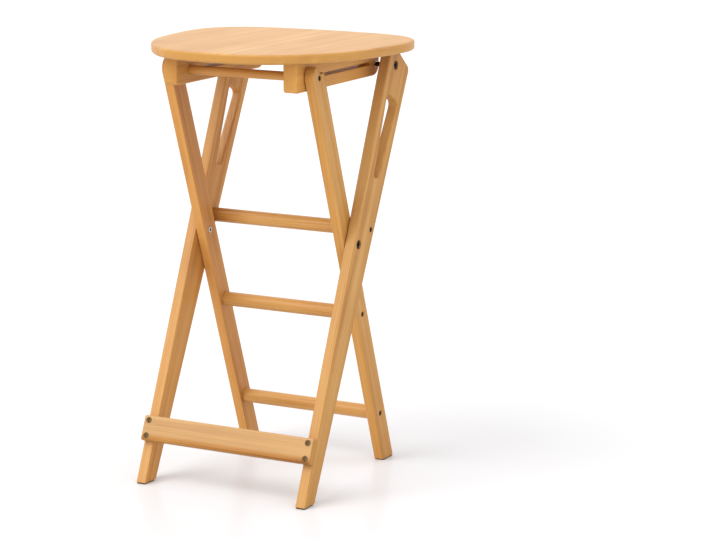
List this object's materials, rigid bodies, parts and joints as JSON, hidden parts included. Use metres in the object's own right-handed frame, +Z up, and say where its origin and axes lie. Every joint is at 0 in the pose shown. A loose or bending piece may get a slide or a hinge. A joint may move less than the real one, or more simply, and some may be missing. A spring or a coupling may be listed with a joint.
{
  "type": "folding bar stool",
  "caption": "Folding wooden bar stool: rounded shield seat on slotted cleats, crossed leg frames that scissor on a bolt, round rungs and a flat front foot rail.",
  "frame": {"origin": "on the floor under the stool, midway between its left and right sides and midway between the front and rear rims of the seat", "axes": "+Z up, -Y to the front, where the flat foot rail and the narrow end of the seat are, and +X to the right as seen from the front; the stool stands open"},
  "size_m": [0.4304, 0.3994, 0.75],
  "materials": {
    "seat_wood": "satin clear lacquer over light honey wood",
    "frame_wood": "clear-lacquered honey-coloured solid wood, satin",
    "black_steel": "black-coated steel, semi-matt",
    "bright_steel": "zinc-plated steel",
    "aged_steel": "darkened steel, satin",
    "washer_nylon": "natural nylon",
    "glide_rubber": "dark rubber, matt",
    "pin_wood": "plain beech, unfinished"
  },
  "bodies": {
    "outer_frame": {"outer_leg_left": "frame_wood", "outer_leg_right": "frame_wood", "upper_rung": "frame_wood", "upper_rung_screws": "black_steel", "front_rail": "frame_wood", "front_rail_screws": "aged_steel", "pivot_bolt_left": "black_steel", "pivot_bolt_right": "black_steel", "pivot_nut_left": "bright_steel", "pivot_nut_right": "bright_steel", "pivot_washers": "washer_nylon", "seat_hinge_bolt_left": "black_steel", "seat_hinge_bolt_right": "black_steel", "outer_foot_glides": "glide_rubber"},
    "inner_frame": {"inner_leg_left": "frame_wood", "inner_leg_right": "frame_wood", "middle_rung": "frame_wood", "middle_rung_screws": "black_steel", "lower_rung": "frame_wood", "lower_rung_screws": "black_steel", "cross_dowel_screws": "black_steel", "inner_foot_glides": "glide_rubber"},
    "slot_dowel": {"cross_dowel": "frame_wood"},
    "seat": {"seat_panel": "seat_wood", "cleat_left": "frame_wood", "cleat_right": "frame_wood", "cleat_screws": "bright_steel", "cleat_dowel_pins": "pin_wood", "seat_hinge_insert_left": "bright_steel", "seat_hinge_insert_right": "bright_steel"}
  },
  "joints": [
    {"name": "leg_fold", "type": "hinge", "parent": "outer_frame", "child": "inner_frame", "pos_m": [0, 0.0031, 0.4137], "axis": [-1, 0, 0], "range_deg": [0, 42.5]},
    {"name": "seat_tilt", "type": "hinge", "parent": "inner_frame", "child": "slot_dowel", "pos_m": [0, -0.0979, 0.7062], "axis": [1, 0, 0], "range_deg": [0, 109.5]},
    {"name": "slot_slide", "type": "slide", "parent": "slot_dowel", "child": "seat", "axis": [0, -1, 0], "range_m": [0, 0.2148]}
  ],
  "couplings": [
    {"joint": "seat_tilt", "follows": "leg_fold", "ratio": 2.5729},
    {"joint": "slot_slide", "follows": "leg_fold", "m_per_rad": 0.28904}
  ]
}
